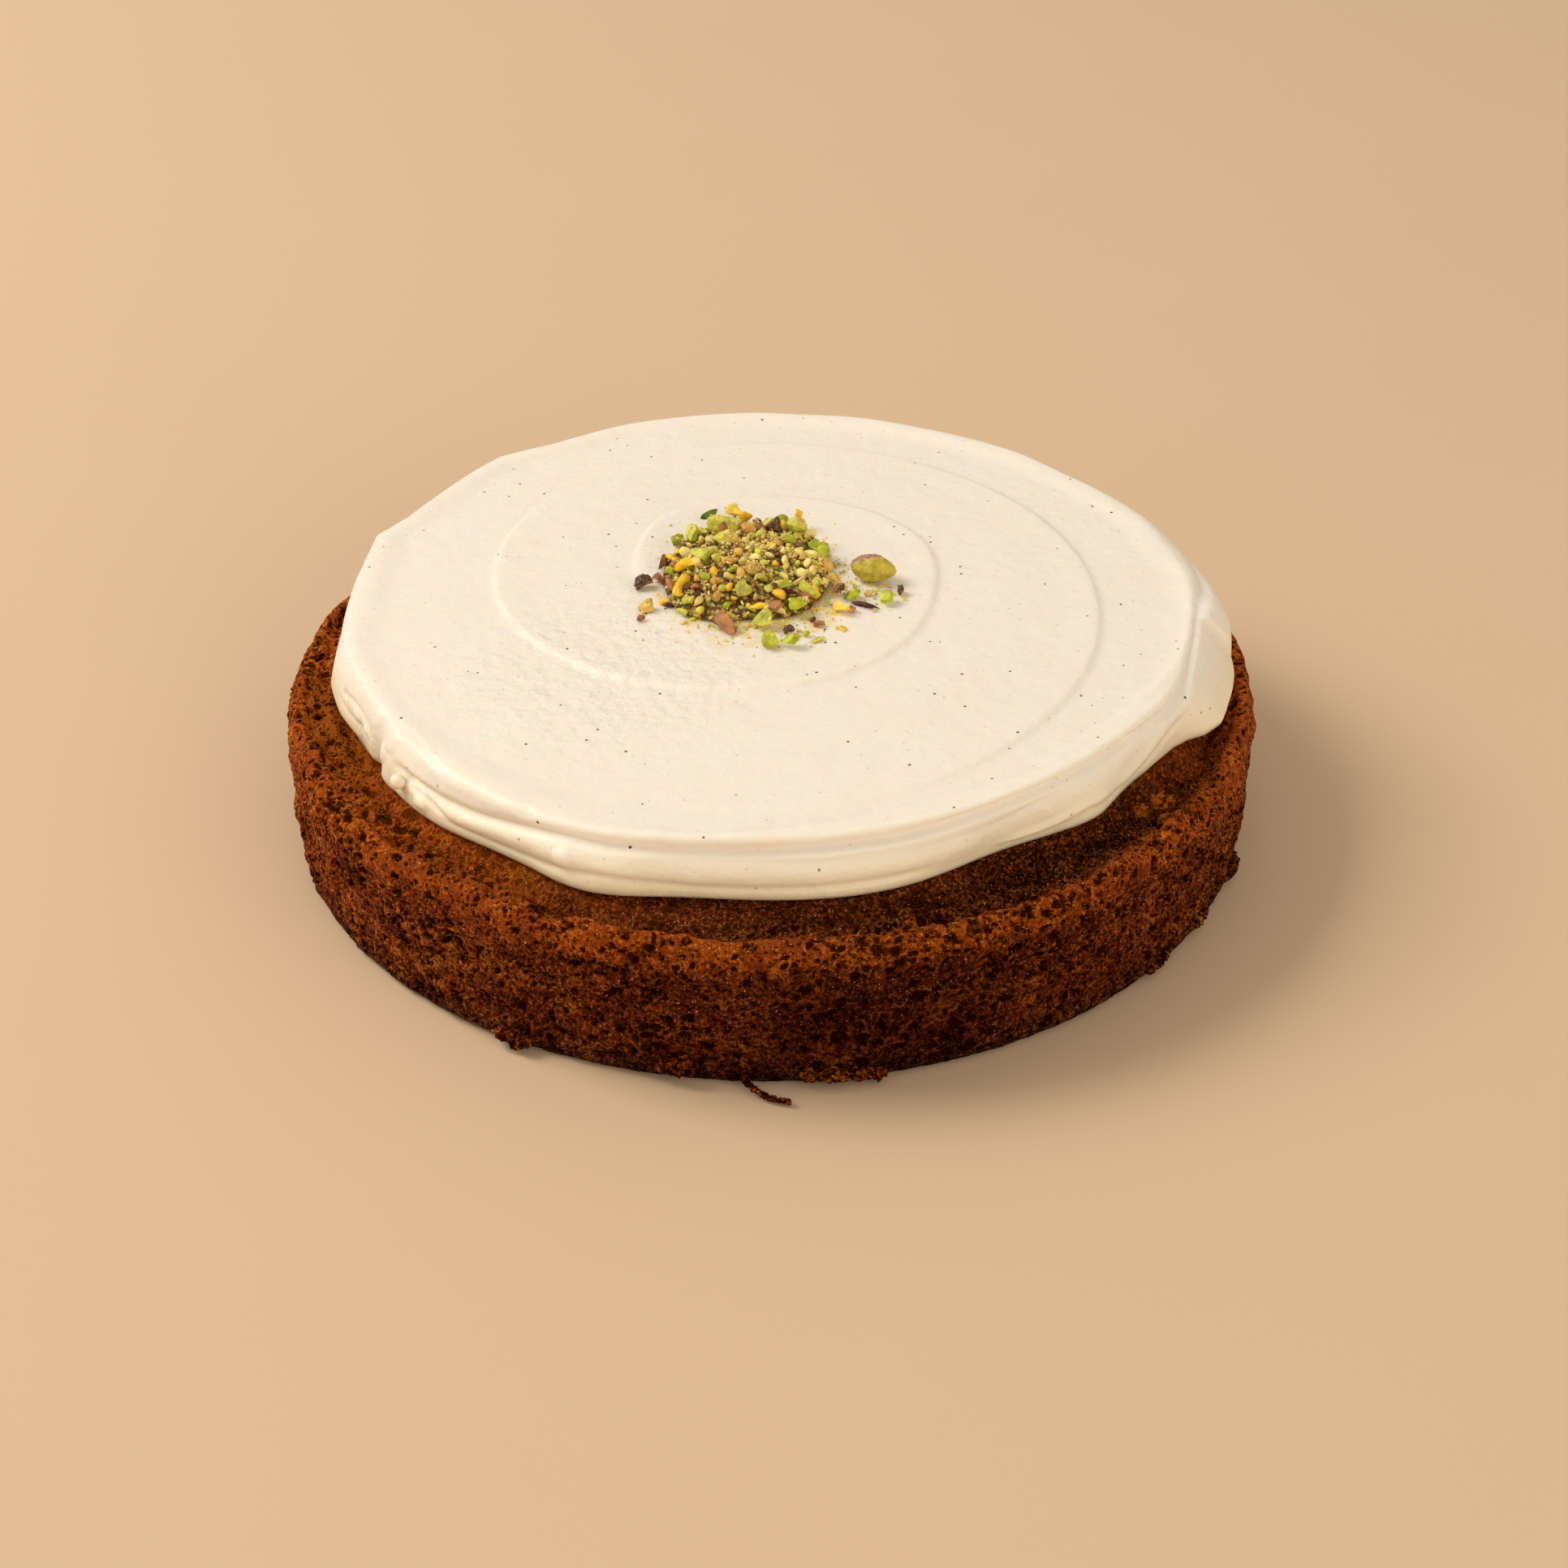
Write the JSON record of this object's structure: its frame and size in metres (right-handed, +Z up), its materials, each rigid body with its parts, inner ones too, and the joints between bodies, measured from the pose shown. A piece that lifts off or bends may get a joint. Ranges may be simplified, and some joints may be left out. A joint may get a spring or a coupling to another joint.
{
  "type": "pistachio cake",
  "caption": "Round uncut pistachio cake with a browned porous crust, a thick uneven round of cream on top and a heap of chopped pistachio nuts in the middle.",
  "frame": {"origin": "middle of the flat underside, on the surface that the cake stands on", "axes": "+Z up through the cake's middle, -Y towards the side that faces the camera, +X to the camera's right"},
  "size_m": [0.2509, 0.257, 0.0688],
  "materials": {
    "cake_crumb": "baked crumb, red-brown, porous and dull with a few sugar glints",
    "cream": "smooth spread cream, ivory, satin, with fine dark vanilla specks",
    "nut_pieces": "chopped nut, yellow-green to tan, dull",
    "nut_kernel": "nut kernel, olive with mauve skin, dull"
  },
  "bodies": {
    "root": {"cake": "cake_crumb", "frosting": "cream", "pistachio_heap": "nut_pieces", "pistachio_kernel": "nut_kernel"}
  },
  "joints": []
}
